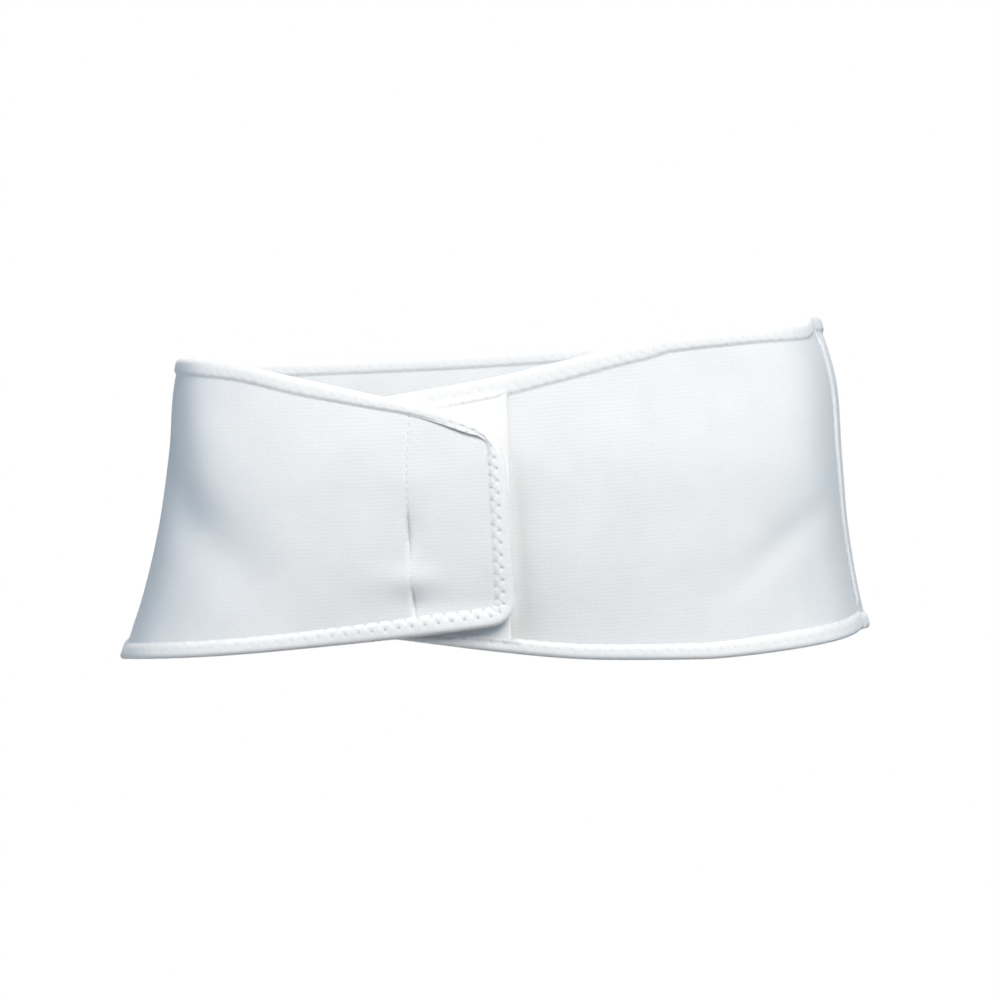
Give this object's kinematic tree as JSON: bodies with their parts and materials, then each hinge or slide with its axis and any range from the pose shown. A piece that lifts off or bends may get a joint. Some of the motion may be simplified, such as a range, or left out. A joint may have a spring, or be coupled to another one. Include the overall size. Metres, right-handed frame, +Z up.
{
  "type": "sacroiliac belt",
  "caption": "White elastic hip belt with tapered front panels that overlap and close with hook and loop, edged in folded tape, in its worn shape.",
  "frame": {"origin": "on the wearer's hip axis, at the middle of the belt's height", "axes": "+Z up along the wearer's body, -Y to the wearer's front, +X to the right of someone who faces the wearer"},
  "size_m": [0.3615, 0.2518, 0.165],
  "materials": {
    "elastic_knit": "matt white knitted elastic with fine ribs along the belt",
    "edge_tape": "soft white folded tape with white zigzag stitching",
    "loop_pile": "smooth white brushed loop pile",
    "hook_tape": "white woven tape with fine plastic hooks"
  },
  "bodies": {
    "root": {"overlap_panel": "elastic_knit", "under_panel": "elastic_knit", "back_panel": "elastic_knit", "overlap_binding": "edge_tape", "under_binding": "edge_tape", "back_top_binding": "edge_tape", "back_bottom_binding": "edge_tape", "loop_patch": "loop_pile", "hook_patch": "hook_tape"}
  },
  "joints": []
}
